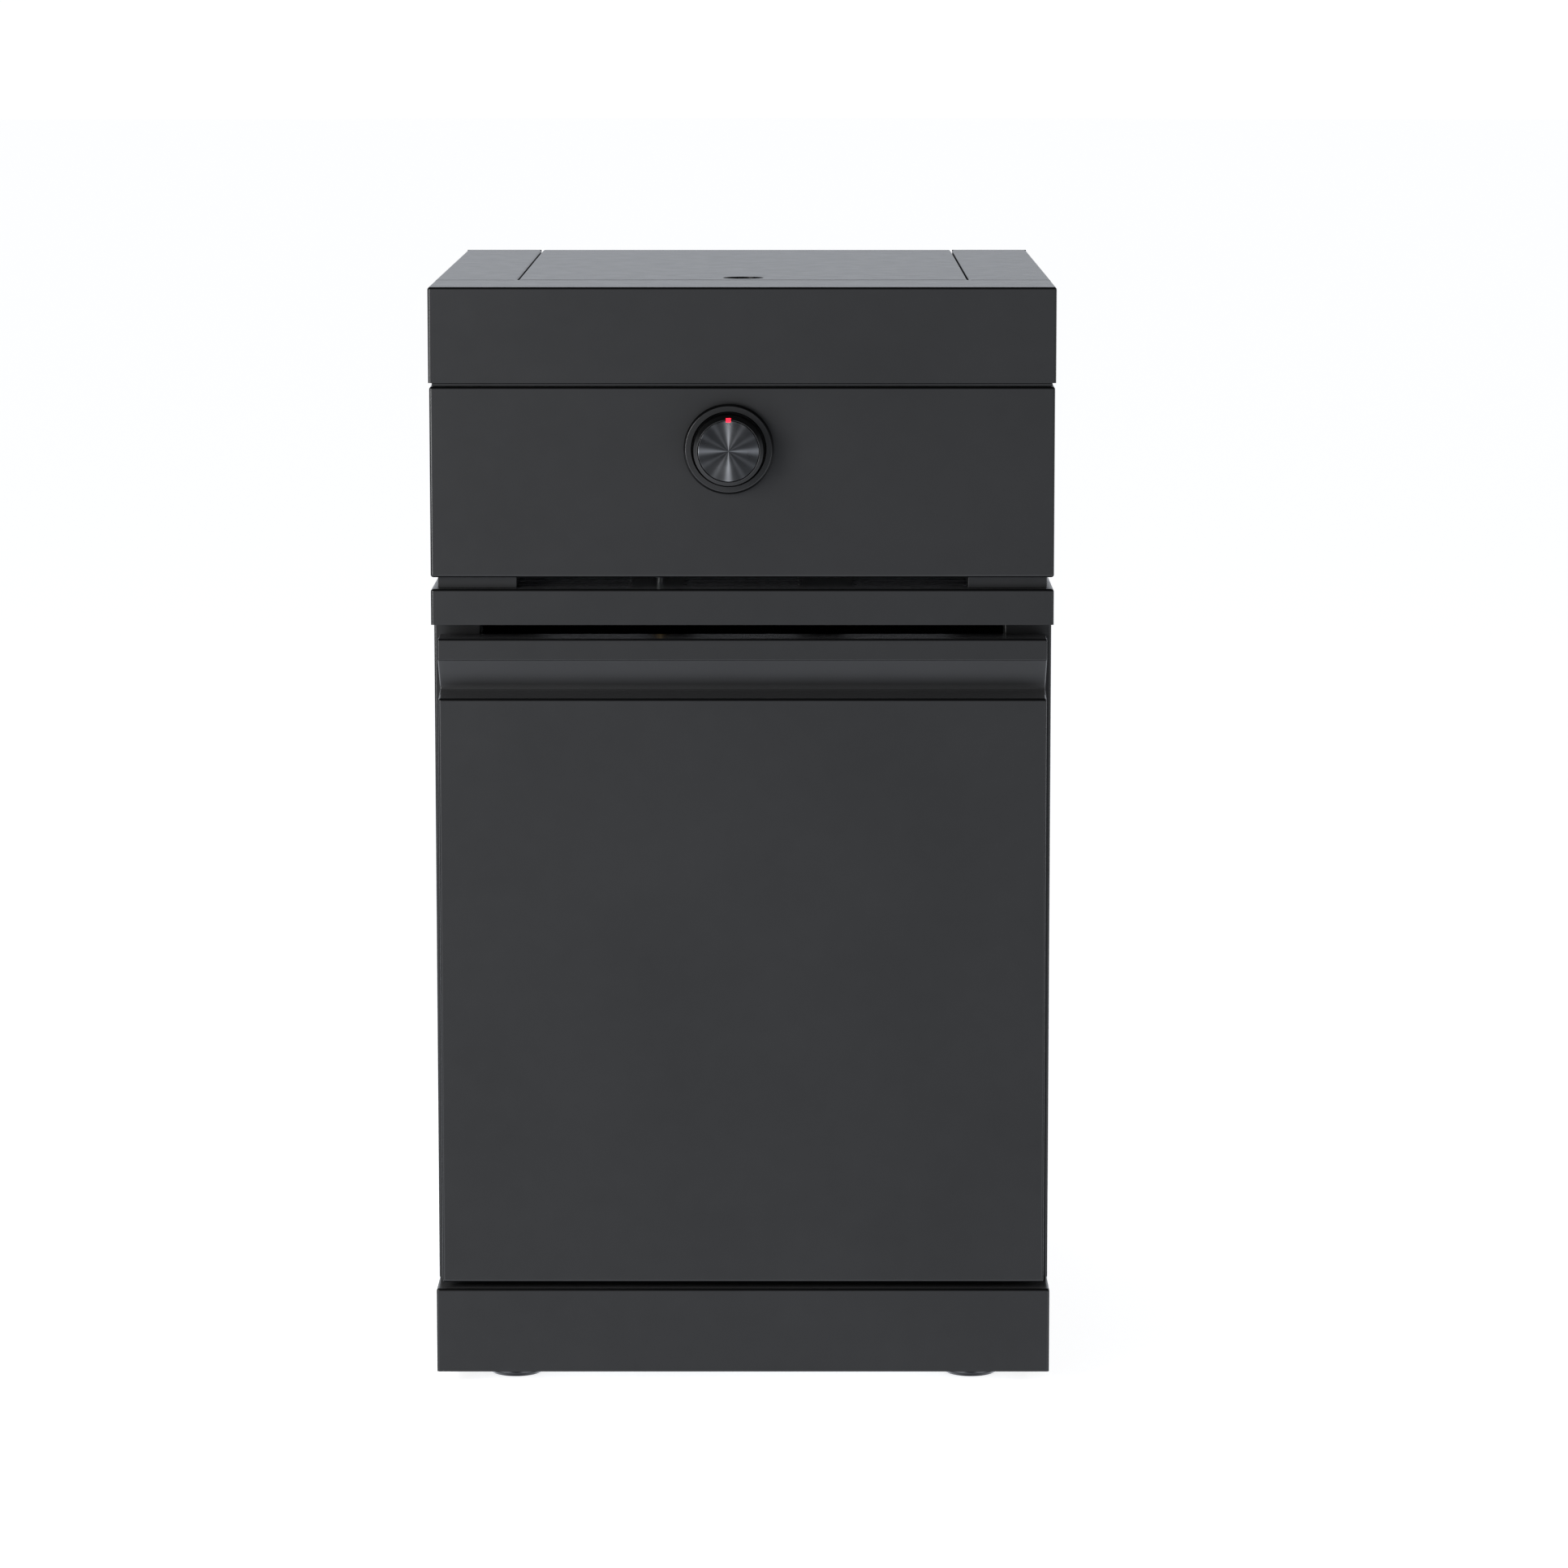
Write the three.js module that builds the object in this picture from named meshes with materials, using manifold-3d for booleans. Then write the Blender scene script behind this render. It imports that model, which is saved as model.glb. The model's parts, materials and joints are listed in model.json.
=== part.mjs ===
// A free-standing outdoor-kitchen side burner cabinet in folded sheet steel.
//
// Millimetres, +X to the right, +Y to the back, +Z up. The origin is on the floor, under the
// middle of the whole object. From the floor up it has four levelling feet, a plinth, a cupboard
// for a gas cylinder with one door, a slotted ventilation deck, the burner box with its control
// panel and knob, and the hob top, whose middle panel is a lid hinged at the back.

import * as THREE from 'three';
import { mergeVertices } from 'three/addons/utils/BufferGeometryUtils.js';
import Module from 'manifold-3d';

const wasm = await Module();
wasm.setup();

// ---------------------------------------------------------------- driving dimensions

const WIDTH = 510;
const BODY_DEPTH = 620; // front plane of the panels to the back wall
const HEIGHT = 914;

const SHEET = 1.5; // thickness of every folded panel
const GAP = 0.3; // between pieces that touch

const KNOB_REACH = 27; // the knob stands this far in front of the control panel
const HINGE_REACH = 8; // the lid's hinge stands this far behind the back wall
const FRONT = (KNOB_REACH - BODY_DEPTH - HINGE_REACH) / 2;
const BACK = FRONT + BODY_DEPTH;
const HALF = WIDTH / 2;

// heights of the stacked boxes
const PLINTH_BOTTOM = 12;
const PLINTH_TOP = 82.5;
const DECK_BOTTOM = 638; // lower edge of the ventilation deck's front lip
const DECK_TOP = 667.5;
const BOX_BOTTOM = 677;
const BOX_TOP = 833;
const HOB_BOTTOM = 836;
const HOB_HALF = HALF + 0.8; // the hob top is a little wider than the boxes under it

// levelling feet
const FOOT_X = 191;
const FOOT_INSET = 54; // foot centre, from the front and the back
const FOOT_RADIUS = 24.5;
const STEM_RADIUS = 4;

// cupboard
const FRAME_Y = FRONT + 43; // front face of the stiles, behind the door
const STILE = 39; // width of a stile
const STILE_RETURN = 30;

// door
const DOOR_HALF = 249.7;
const DOOR_BOTTOM = 88;
const DOOR_TOP = 626.5;
const DOOR_PANEL_TOP = 577;
const GRIP_LIP = 17.5; // height of the strip above the finger groove
const GRIP_DEPTH = 31;
const GROOVE_RISE = 0.14; // the groove's floor climbs this much for each millimetre back
const DOOR_BACK = FRONT + 38; // rear rim of the outer skin
const PIVOT_X = 241;
const PIVOT_Y = FRONT + 15;
const PIVOT_RADIUS = 2.9;
const HINGE_HEIGHTS = { lower: 142, upper: 522 };
const ARM_HALF = 16; // half the height of a hinge arm

// ventilation slots
const SLOT_LENGTH = 98;
const SLOT_WIDTH = 9;
const SLOT_COLUMNS = [-139.5, 0, 139.5];

// hob top
const FASCIA_DEPTH = 108.5;
const WELL_HALF = 188; // inner wall of the side decks
const LID_HALF = 187;
const LID_FRONT = FRONT + 109.5;
const LID_SKIRT = 20;
const FINGER_HOLE = { y: FRONT + 143.5, radius: 17 };
const LEDGE_Z = 862;
const KNUCKLE_RADIUS = 3.5;
const LID_AXIS = { y: BACK + HINGE_REACH - KNUCKLE_RADIUS, z: 902.7 };

// burner and knob
const BURNER_Y = FRONT + 365;
const BOWL_FLOOR = 800;
const KNOB_X = -11;
const KNOB_Z = 782.6;
const KNOB_RADIUS = 29.3;
const DISC_RADIUS = 24.8;
const BEZEL_RADIUS = 36.9;
const BEZEL_BORE = KNOB_RADIUS + 0.7;
const PIPE = { x: -70, y: FRONT + 150, radius: 5, end: 662 };

// ---------------------------------------------------------------- materials

function finish(color, roughness, metalness) {
  return new THREE.MeshStandardMaterial({ color, roughness, metalness });
}

const coat = finish(0x3a3b3d, 0.5, 0.1);
const spun = finish(0x66696c, 0.35, 1);
const marker = finish(0xf0142f, 0.4, 0);
const plastic = finish(0x1d1e20, 0.45, 0);
const satin = finish(0x38393b, 0.35, 0.2);
const iron = finish(0x232427, 0.75, 0.3);
const steel = finish(0x9a9ea2, 0.35, 1);
const zinc = finish(0x8d9094, 0.45, 0.9);
const brass = finish(0xb58f4c, 0.35, 1);
const rubber = finish(0x1a1a1b, 0.85, 0);
const ceramic = finish(0xe9e6df, 0.5, 0);

// ---------------------------------------------------------------- solids

// A closed three.js geometry as a solid that can be joined and cut.
function solid(geometry) {
  const bare = geometry.clone();
  bare.deleteAttribute('normal');
  bare.deleteAttribute('uv');
  const merged = mergeVertices(bare, 1e-4);
  return new wasm.Manifold(new wasm.Mesh({
    numProp: 3,
    vertProperties: merged.attributes.position.array,
    triVerts: new Uint32Array(merged.index.array),
  }));
}

function join(...solids) {
  return solids.reduce((all, next) => all.add(next));
}

function cut(body, ...tools) {
  return tools.reduce((left, tool) => left.subtract(tool), body);
}

// A rectangular block between two values on each axis.
function block(x, y, z) {
  const box = new THREE.BoxGeometry(x[1] - x[0], y[1] - y[0], z[1] - z[0]);
  return solid(box.translate((x[0] + x[1]) / 2, (y[0] + y[1]) / 2, (z[0] + z[1]) / 2));
}

// A block with sheet walls. The faces named in open, such as '-z', are left out.
function tray(x, y, z, open) {
  const inner = [x, y, z].map(([low, high], axis) => [
    low + (open.includes('-' + 'xyz'[axis]) ? -1 : SHEET),
    high + (open.includes('+' + 'xyz'[axis]) ? 1 : -SHEET),
  ]);
  return cut(block(x, y, z), block(...inner));
}

// The three ways that a flat outline is drawn out: its own axes lie along the two axes that
// are left.
const DRAW = {
  x: new THREE.Matrix4().makeBasis(
    new THREE.Vector3(0, 1, 0), new THREE.Vector3(0, 0, 1), new THREE.Vector3(1, 0, 0)),
  y: new THREE.Matrix4().makeBasis(
    new THREE.Vector3(1, 0, 0), new THREE.Vector3(0, 0, 1), new THREE.Vector3(0, -1, 0)),
  z: new THREE.Matrix4(),
};

function drawShape(axis, shape, [low, high]) {
  const geometry = new THREE.ExtrudeGeometry(shape, {
    depth: high - low, bevelEnabled: false, curveSegments: 3,
  });
  const start = new THREE.Vector3();
  start[axis] = axis === 'y' ? high : low;
  return solid(geometry.applyMatrix4(DRAW[axis]).translate(start.x, start.y, start.z));
}

function draw(axis, points, range) {
  const corners = points.map(([u, v]) => new THREE.Vector2(u, v));
  return drawShape(axis, new THREE.Shape(corners), range);
}

// The same outline on the other side of the middle plane.
function side(sign, points) {
  return points.map(([u, v]) => [sign * u, v]);
}

// A round bar along an axis, between two values on it, through a centre on the other two axes.
function rod(axis, radius, [low, high], [u, v], sides = 16) {
  const bar = new THREE.CylinderGeometry(radius, radius, high - low, sides);
  const middle = (low + high) / 2;
  if (axis === 'x') bar.rotateZ(Math.PI / 2).translate(middle, u, v);
  if (axis === 'y') bar.translate(u, middle, v);
  if (axis === 'z') bar.rotateX(Math.PI / 2).translate(u, v, middle);
  return solid(bar);
}

// A turned piece. The profile holds radius and distance along the axis.
function turned(axis, profile, [u, v], sides) {
  const points = profile.map(([radius, along]) => new THREE.Vector2(radius, along));
  const lathe = new THREE.LatheGeometry(points, sides);
  if (axis === 'y') lathe.translate(u, 0, v);
  if (axis === 'z') lathe.rotateX(Math.PI / 2).translate(u, v, 0);
  return solid(lathe);
}

// A slot with round ends, its length along X, through a panel that faces along the given axis.
function slot(axis, x, other, range) {
  const half = SLOT_LENGTH / 2 - SLOT_WIDTH / 2;
  const shape = new THREE.Shape();
  shape.absarc(x + half, other, SLOT_WIDTH / 2, -Math.PI / 2, Math.PI / 2, false);
  shape.absarc(x - half, other, SLOT_WIDTH / 2, Math.PI / 2, 1.5 * Math.PI, false);
  return drawShape(axis, shape, range);
}

// Every slot of a field: the three columns, and rows a pitch apart from the first one.
function slotField(axis, first, rows, pitch, range) {
  const found = [];
  for (let row = 0; row < rows; row++) {
    for (const x of SLOT_COLUMNS) found.push(slot(axis, x, first + row * pitch, range));
  }
  return join(...found);
}

// An outline moved inwards by a wall's thickness. Its corners run counter-clockwise.
function inset(points, distance) {
  const sides = points.map(([u, v], i) => {
    const [nextU, nextV] = points[(i + 1) % points.length];
    const length = Math.hypot(nextU - u, nextV - v);
    const [du, dv] = [(nextU - u) / length, (nextV - v) / length];
    return { u: u - dv * distance, v: v + du * distance, du, dv };
  });
  return sides.map((b, i) => {
    const a = sides[(i + sides.length - 1) % sides.length];
    const along = ((b.u - a.u) * b.dv - (b.v - a.v) * b.du) / (a.du * b.dv - a.dv * b.du);
    return [a.u + along * a.du, a.v + along * a.dv];
  });
}

// ---------------------------------------------------------------- assembly

const cabinet = new THREE.Group();
cabinet.name = 'side_burner_cabinet';

function add(name, shape, material) {
  const { numProp, vertProperties, triVerts } = shape.getMesh();
  const position = new Float32Array(vertProperties.length / numProp * 3);
  for (let i = 0; i < position.length / 3; i++) {
    position.set(vertProperties.subarray(i * numProp, i * numProp + 3), i * 3);
  }
  const geometry = new THREE.BufferGeometry();
  geometry.setAttribute('position', new THREE.BufferAttribute(position, 3));
  geometry.setIndex(new THREE.BufferAttribute(triVerts, 1));
  geometry.computeVertexNormals();
  const mesh = new THREE.Mesh(geometry, material);
  mesh.name = name;
  cabinet.add(mesh);
}

const SIDES = [['left', -1], ['right', 1]];
const ENDS = [['front', FRONT, 1], ['back', BACK, -1]];

// ---------------------------------------------------------------- plinth and feet

// A threaded stem under a wide pad. The stem runs up through the foot bracket.
function addFoot(name, x, y) {
  const profile = [
    [0, 0], [FOOT_RADIUS - 2, 0], [FOOT_RADIUS, 2], [FOOT_RADIUS, 8.5], [FOOT_RADIUS - 1, 9.5],
    [10, 9.5], [10, 13.5], [STEM_RADIUS, 13.5], [STEM_RADIUS, 58], [0, 58],
  ];
  add('foot_' + name, turned('z', profile, [x, y], 32), plastic);
}

// An angle behind the plinth's front or back wall, with a hole for each foot's stem.
const RAIL_HALF = 225;
for (const [end, wall, inwards] of ENDS) {
  const near = wall + inwards * (SHEET + GAP);
  const reach = [near, wall + inwards * 84].sort((a, b) => a - b);
  const upright = [near, near + inwards * 3].sort((a, b) => a - b);
  add('foot_rail_' + end, cut(
    join(
      block([-RAIL_HALF, RAIL_HALF], reach, [16, 19]),
      block([-RAIL_HALF, RAIL_HALF], upright, [16, 60]),
    ),
    ...SIDES.map(([, sign]) =>
      rod('z', STEM_RADIUS + 0.6, [10, 25], [sign * FOOT_X, wall + inwards * FOOT_INSET])),
  ), zinc);
  for (const [hand, sign] of SIDES) {
    addFoot(end + '_' + hand, sign * FOOT_X, wall + inwards * FOOT_INSET);
  }
}

add('plinth', tray([-HALF, HALF], [FRONT, BACK], [PLINTH_BOTTOM, PLINTH_TOP], ['-z']), coat);

// ---------------------------------------------------------------- cupboard

const CUPBOARD_BOTTOM = PLINTH_TOP + GAP;
const CUPBOARD_TOP = DECK_TOP - SHEET - GAP;

// A side wall folded round the front into a stile with a return, and round the back into a
// short flange.
for (const [hand, sign] of SIDES) {
  const outline = [
    [HALF, FRAME_Y], [HALF - STILE, FRAME_Y], [HALF - STILE, FRAME_Y + STILE_RETURN],
    [HALF - STILE + SHEET, FRAME_Y + STILE_RETURN], [HALF - STILE + SHEET, FRAME_Y + SHEET],
    [HALF - SHEET, FRAME_Y + SHEET], [HALF - SHEET, BACK - SHEET], [HALF - 20, BACK - SHEET],
    [HALF - 20, BACK], [HALF, BACK],
  ];
  add('side_panel_' + hand,
    draw('z', side(sign, outline), [CUPBOARD_BOTTOM, CUPBOARD_TOP]), coat);
}

// The back wall stands inside the flanges and has a low and a high field of slots.
const BACK_WALL = [BACK - 2 * SHEET - GAP, BACK - SHEET - GAP];
const BACK_CUT = [BACK_WALL[0] - 1, BACK_WALL[1] + 1];
add('back_panel', cut(
  block([2 - HALF, HALF - 2], BACK_WALL, [PLINTH_TOP + 1.5, CUPBOARD_TOP]),
  slotField('y', 130, 4, 22, BACK_CUT),
  slotField('y', 600, 3, 22, BACK_CUT),
), coat);

// A shallow tray on the plinth, and the ring that keeps a gas cylinder in place on it.
const FLOOR_FRONT = FRAME_Y + STILE_RETURN + 0.5;
const FLOOR_BACK = BACK_WALL[0] - 0.6;
add('floor_tray', tray([2 - HALF, HALF - 2], [FLOOR_FRONT, FLOOR_BACK],
  [CUPBOARD_BOTTOM, 103], ['+z']), coat);

const RING_BOTTOM = CUPBOARD_BOTTOM + SHEET + GAP;
add('cylinder_ring', turned('z', [
  [108, RING_BOTTOM], [122, RING_BOTTOM], [122, RING_BOTTOM + 26], [120, RING_BOTTOM + 26],
  [120, RING_BOTTOM + 2], [108, RING_BOTTOM + 2], [108, RING_BOTTOM],
], [0, (FLOOR_FRONT + FLOOR_BACK) / 2], 48), coat);

// The slotted deck over the cupboard, with the lip that shows as a rail above the door.
const LIP_DEPTH = FRAME_Y - FRONT - 0.6;
const pipeHole = (z) => rod('z', PIPE.radius + 3, [z - 5, z + 5], [PIPE.x, PIPE.y]);
add('vent_deck', cut(
  join(
    block([-HALF, HALF], [FRONT, BACK], [DECK_TOP - SHEET, DECK_TOP]),
    tray([-HALF, HALF], [FRONT, FRONT + LIP_DEPTH], [DECK_BOTTOM, DECK_TOP], ['-z', '+y']),
  ),
  slotField('z', FRONT + 35, 6, 28.5, [DECK_TOP - 3, DECK_TOP + 1]),
  pipeHole(DECK_TOP),
), coat);

// Two low rails hold the burner box clear of the deck, so that air passes between them.
for (const [hand, sign] of SIDES) {
  const across = [sign * 185, sign * 249.5].sort((a, b) => a - b);
  add('spacer_rail_' + hand,
    tray(across, [FRONT + 9, BACK - 9], [DECK_TOP + GAP, BOX_BOTTOM - GAP], ['-z']), coat);
}

// ---------------------------------------------------------------- burner box

const PANEL_DEPTH = 18; // the control panel's flanges
add('control_panel', cut(
  tray([-HALF, HALF], [FRONT, FRONT + PANEL_DEPTH], [BOX_BOTTOM, BOX_TOP], ['+y']),
  rod('y', 8, [FRONT - 1, FRONT + 3], [KNOB_X, KNOB_Z]),
), coat);

for (const [hand, sign] of SIDES) {
  const outline = [
    [HALF, BOX_BOTTOM], [HALF, BOX_TOP], [HALF - 20, BOX_TOP], [HALF - 20, BOX_TOP - SHEET],
    [HALF - SHEET, BOX_TOP - SHEET], [HALF - SHEET, BOX_BOTTOM + SHEET],
    [HALF - 30, BOX_BOTTOM + SHEET], [HALF - 30, BOX_BOTTOM],
  ];
  add('burner_box_side_' + hand,
    draw('y', side(sign, outline), [FRONT + PANEL_DEPTH + GAP, BACK]), coat);
}

add('burner_box_back', cut(
  block([2 - HALF, HALF - 2], [BACK - SHEET, BACK], [BOX_BOTTOM + 2, BOX_TOP - 2]),
  slotField('y', 706, 3, 22, [BACK - 3, BACK + 1]),
), coat);

const SHIELD_TOP = BOX_BOTTOM + 2 * SHEET + 0.5;
add('heat_shield', cut(
  block([2 - HALF, HALF - 2], [FRONT + PANEL_DEPTH + 0.6, BACK - 2], [SHIELD_TOP - SHEET, SHIELD_TOP]),
  slotField('z', FRONT + 63.5, 5, 28.5, [SHIELD_TOP - 3, SHIELD_TOP + 1]),
  pipeHole(SHIELD_TOP),
), zinc);

// A recessed frame makes the dark joint between the burner box and the hob top.
add('joint_frame', cut(
  block([2 - HALF, HALF - 2], [FRONT + 3, BACK - 3], [BOX_TOP + GAP, HOB_BOTTOM - GAP]),
  block([23 - HALF, HALF - 23], [FRONT + 22, BACK - 22], [BOX_TOP - 1, HOB_BOTTOM + 1]),
), coat);

// ---------------------------------------------------------------- hob top

// The front piece of the hob top is closed on every side but the underside. Two tabs on its
// rear wall carry the lid's buffers.
const BUFFER_X = 150;
const TAB_TOP = HEIGHT - LID_SKIRT - 3;
const tabs = SIDES.map(([, sign]) => {
  const across = [sign * (BUFFER_X - 12), sign * (BUFFER_X + 12)].sort((a, b) => a - b);
  return block(across, [FRONT + FASCIA_DEPTH - 1, FRONT + FASCIA_DEPTH + 11],
    [TAB_TOP - SHEET, TAB_TOP]);
});
add('hob_fascia', join(
  tray([-HOB_HALF, HOB_HALF], [FRONT, FRONT + FASCIA_DEPTH], [HOB_BOTTOM, HEIGHT], ['-z']),
  ...tabs,
), coat);

for (const [hand, sign] of SIDES) {
  add('lid_buffer_' + hand, rod('z', 4, [TAB_TOP + GAP, HEIGHT - LID_SKIRT - GAP],
    [sign * BUFFER_X, FRONT + FASCIA_DEPTH + 5]), rubber);
}

// A side deck is folded from the outer wall over the top and down into the burner well, where
// a ledge carries the bowl.
for (const [hand, sign] of SIDES) {
  const outline = [
    [HOB_HALF, HOB_BOTTOM], [HOB_HALF, HEIGHT], [WELL_HALF, HEIGHT], [WELL_HALF, LEDGE_Z + SHEET],
    [WELL_HALF - 16, LEDGE_Z + SHEET], [WELL_HALF - 16, LEDGE_Z], [WELL_HALF + SHEET, LEDGE_Z],
    [WELL_HALF + SHEET, HEIGHT - SHEET], [HOB_HALF - SHEET, HEIGHT - SHEET],
    [HOB_HALF - SHEET, HOB_BOTTOM],
  ];
  add('side_deck_' + hand,
    draw('y', side(sign, outline), [FRONT + FASCIA_DEPTH + 0.7, BACK - 2]), coat);
}

// The hob's back wall is lower behind the lid, for the hinge.
const BACK_NOTCH = LID_AXIS.z - 0.7;
add('hob_back', draw('y', [
  [-HOB_HALF, HOB_BOTTOM], [HOB_HALF, HOB_BOTTOM], [HOB_HALF, HEIGHT], [WELL_HALF, HEIGHT],
  [WELL_HALF, BACK_NOTCH], [-WELL_HALF, BACK_NOTCH], [-WELL_HALF, HEIGHT], [-HOB_HALF, HEIGHT],
], [BACK - SHEET, BACK]), coat);

// The lid has a skirt all round, short at the back, and a hole for one finger.
add('burner_lid', cut(
  tray([-LID_HALF, LID_HALF], [LID_FRONT, BACK], [HEIGHT - LID_SKIRT, HEIGHT], ['-z']),
  block([-LID_HALF - 1, LID_HALF + 1], [BACK - 2.4, BACK + 1], [HEIGHT - LID_SKIRT - 1, LID_AXIS.z + 0.6]),
  rod('z', FINGER_HOLE.radius, [HEIGHT - 5, HEIGHT + 5], [0, FINGER_HOLE.y], 32),
), coat);

// A continuous hinge: knuckles that belong to the body's leaf and the lid's leaf in turn.
const HINGE_HALF = 150;
const KNUCKLES = 7;
const axisCentre = [LID_AXIS.y, LID_AXIS.z];

function hingeLeaf(first, z) {
  const pitch = 2 * HINGE_HALF / KNUCKLES;
  let leaf = block([-HINGE_HALF, HINGE_HALF], [BACK + GAP, BACK + SHEET], z);
  for (let i = 0; i < KNUCKLES; i++) {
    const span = [-HINGE_HALF + i * pitch, -HINGE_HALF + (i + 1) * pitch];
    leaf = i % 2 === first
      ? join(leaf, rod('x', KNUCKLE_RADIUS, [span[0] + GAP, span[1] - GAP], axisCentre))
      : cut(leaf, rod('x', KNUCKLE_RADIUS + 0.5, [span[0] - GAP, span[1] + GAP], axisCentre));
  }
  return cut(leaf, rod('x', 1.8, [-HINGE_HALF - 1, HINGE_HALF + 1], axisCentre));
}

add('lid_hinge_body_leaf', hingeLeaf(0, [876, LID_AXIS.z - GAP]), steel);
add('lid_hinge_lid_leaf', hingeLeaf(1, [LID_AXIS.z + GAP, HEIGHT - 1.5]), steel);
add('lid_hinge_pin', rod('x', 1.4, [-HINGE_HALF - 1, HINGE_HALF + 1], axisCentre, 12), steel);

// ---------------------------------------------------------------- burner

// A deep pressed bowl hangs by its rim on the ledges of the side decks.
const BOWL_Y = [FRONT + 128.5, BACK - 38.5];
const RIM_Z = [LEDGE_Z + SHEET + 0.5, LEDGE_Z + 2 * SHEET + 0.5];
const IGNITER = { x: 41, y: BURNER_Y - 41 };
add('drip_bowl', cut(
  join(
    tray([-169.5, 169.5], BOWL_Y, [BOWL_FLOOR, RIM_Z[1]], ['+z']),
    cut(
      block([1.5 - WELL_HALF, WELL_HALF - 1.5], [FRONT + 112, BACK - 22], RIM_Z),
      block([-169, 169], [BOWL_Y[0] + 0.5, BOWL_Y[1] - 0.5], [RIM_Z[0] - 1, RIM_Z[1] + 1]),
    ),
  ),
  rod('z', 31, [BOWL_FLOOR - 5, BOWL_FLOOR + 5], [0, BURNER_Y], 24),
  rod('z', 5, [BOWL_FLOOR - 5, BOWL_FLOOR + 5], [IGNITER.x, IGNITER.y]),
), steel);

// The mixing tube starts in a bell at the valve and ends in a cup under the bowl.
const TUBE_FRONT = FRONT + 62;
add('burner_tube', cut(
  join(
    turned('y', [
      [0, TUBE_FRONT], [17, TUBE_FRONT], [17, TUBE_FRONT + 8], [12, TUBE_FRONT + 26],
      [12, BURNER_Y], [0, BURNER_Y],
    ], [KNOB_X, KNOB_Z], 20),
    turned('z', [
      [0, 764], [26, 764], [29, 769], [29, 795], [38, 797], [38, BOWL_FLOOR - GAP],
      [0, BOWL_FLOOR - GAP],
    ], [0, BURNER_Y], 24),
  ),
  rod('y', 9, [TUBE_FRONT - 1, TUBE_FRONT + 120], [KNOB_X, KNOB_Z]),
), zinc);

add('burner_head', turned('z', [
  [0, BOWL_FLOOR], [28, BOWL_FLOOR], [28, 803], [46, 808], [48, 812], [48, 823], [0, 823],
], [0, BURNER_Y], 36), zinc);

add('burner_cap', turned('z', [
  [0, 823.3], [50, 823.3], [51, 825], [50, 828], [40, 831.5], [0, 833],
], [0, BURNER_Y], 36), iron);

// A ceramic rod with a bent wire tip beside the burner head.
add('igniter_electrode', join(
  turned('z', [[0, 786], [3.5, 786], [3.5, 822], [1.2, 824], [1.2, 832], [0, 832]],
    [IGNITER.x, IGNITER.y], 12),
), ceramic);

// The pan support: a frame that lies on the bowl's rim, with bars and raised fingers.
const GRATE_Y = [BURNER_Y - 190, BURNER_Y + 190];
const BAR = 9;
const GRATE_LOW = RIM_Z[1] + GAP;
const GRATE_HIGH = 888;

const grateBars = [
  block([-181, 181], [GRATE_Y[0], GRATE_Y[0] + BAR], [GRATE_LOW, 876]),
  block([-181, 181], [GRATE_Y[1] - BAR, GRATE_Y[1]], [GRATE_LOW, 876]),
];
for (const [, sign] of SIDES) {
  const edge = [sign * 181, sign * (181 - BAR)].sort((a, b) => a - b);
  const rib = [sign * 100 - BAR / 2, sign * 100 + BAR / 2];
  const finger = [sign * 30, sign * 176].sort((a, b) => a - b);
  const reach = [BURNER_Y + sign * 30, BURNER_Y + sign * 186].sort((a, b) => a - b);
  grateBars.push(
    block(edge, GRATE_Y, [GRATE_LOW, 876]),
    block(rib, GRATE_Y, [GRATE_LOW + 4, GRATE_HIGH]),
    block(finger, [BURNER_Y - BAR / 2, BURNER_Y + BAR / 2], [GRATE_LOW + 4, GRATE_HIGH]),
    block([-BAR / 2, BAR / 2], reach, [GRATE_LOW + 4, GRATE_HIGH]),
  );
}
add('pan_support', join(...grateBars), iron);

// ---------------------------------------------------------------- gas supply

// The tap: a cast body with a boss for the stem in front and the jet at the back.
add('gas_valve', cut(
  join(
    block([KNOB_X - 17, KNOB_X + 17], [FRONT + 14, FRONT + 52], [762, 800]),
    rod('y', 9.5, [FRONT + 4, FRONT + 15], [KNOB_X, KNOB_Z], 20),
    turned('y', [
      [0, FRONT + 51], [6.5, FRONT + 51], [6.5, FRONT + 58], [3.5, FRONT + 61],
      [3.5, FRONT + 68], [0, FRONT + 68],
    ], [KNOB_X, KNOB_Z], 16),
  ),
  rod('y', STEM_RADIUS + 0.5, [FRONT, FRONT + 30], [KNOB_X, KNOB_Z]),
), zinc);

// The supply pipe runs down from the tap, back and to the left, and through the deck.
function pipeBend(from, corner, to) {
  return new THREE.QuadraticBezierCurve3(from, corner, to);
}

const pipeTop = new THREE.Vector3(KNOB_X, FRONT + 33, 762 - GAP);
const pipeDrop = new THREE.Vector3(KNOB_X, FRONT + 33, 740);
const pipeFoot = new THREE.Vector3(PIPE.x, PIPE.y, 706);
const pipeEnd = new THREE.Vector3(PIPE.x, PIPE.y, PIPE.end);
const pipeMiddle = pipeDrop.clone().lerp(pipeFoot, 0.5);
const pipePath = new THREE.CurvePath();
pipePath.add(new THREE.LineCurve3(pipeTop, pipeDrop));
pipePath.add(pipeBend(pipeDrop, pipeDrop.clone().setZ(pipeMiddle.z), pipeMiddle));
pipePath.add(pipeBend(pipeMiddle, pipeFoot.clone().setZ(pipeMiddle.z), pipeFoot));
pipePath.add(new THREE.LineCurve3(pipeFoot, pipeEnd));
const pipeSection = new THREE.Shape();
pipeSection.absarc(0, 0, PIPE.radius, 0, 2 * Math.PI);
add('gas_pipe', solid(new THREE.ExtrudeGeometry(pipeSection, {
  extrudePath: pipePath, steps: 24, bevelEnabled: false, curveSegments: 6,
})), steel);

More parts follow.
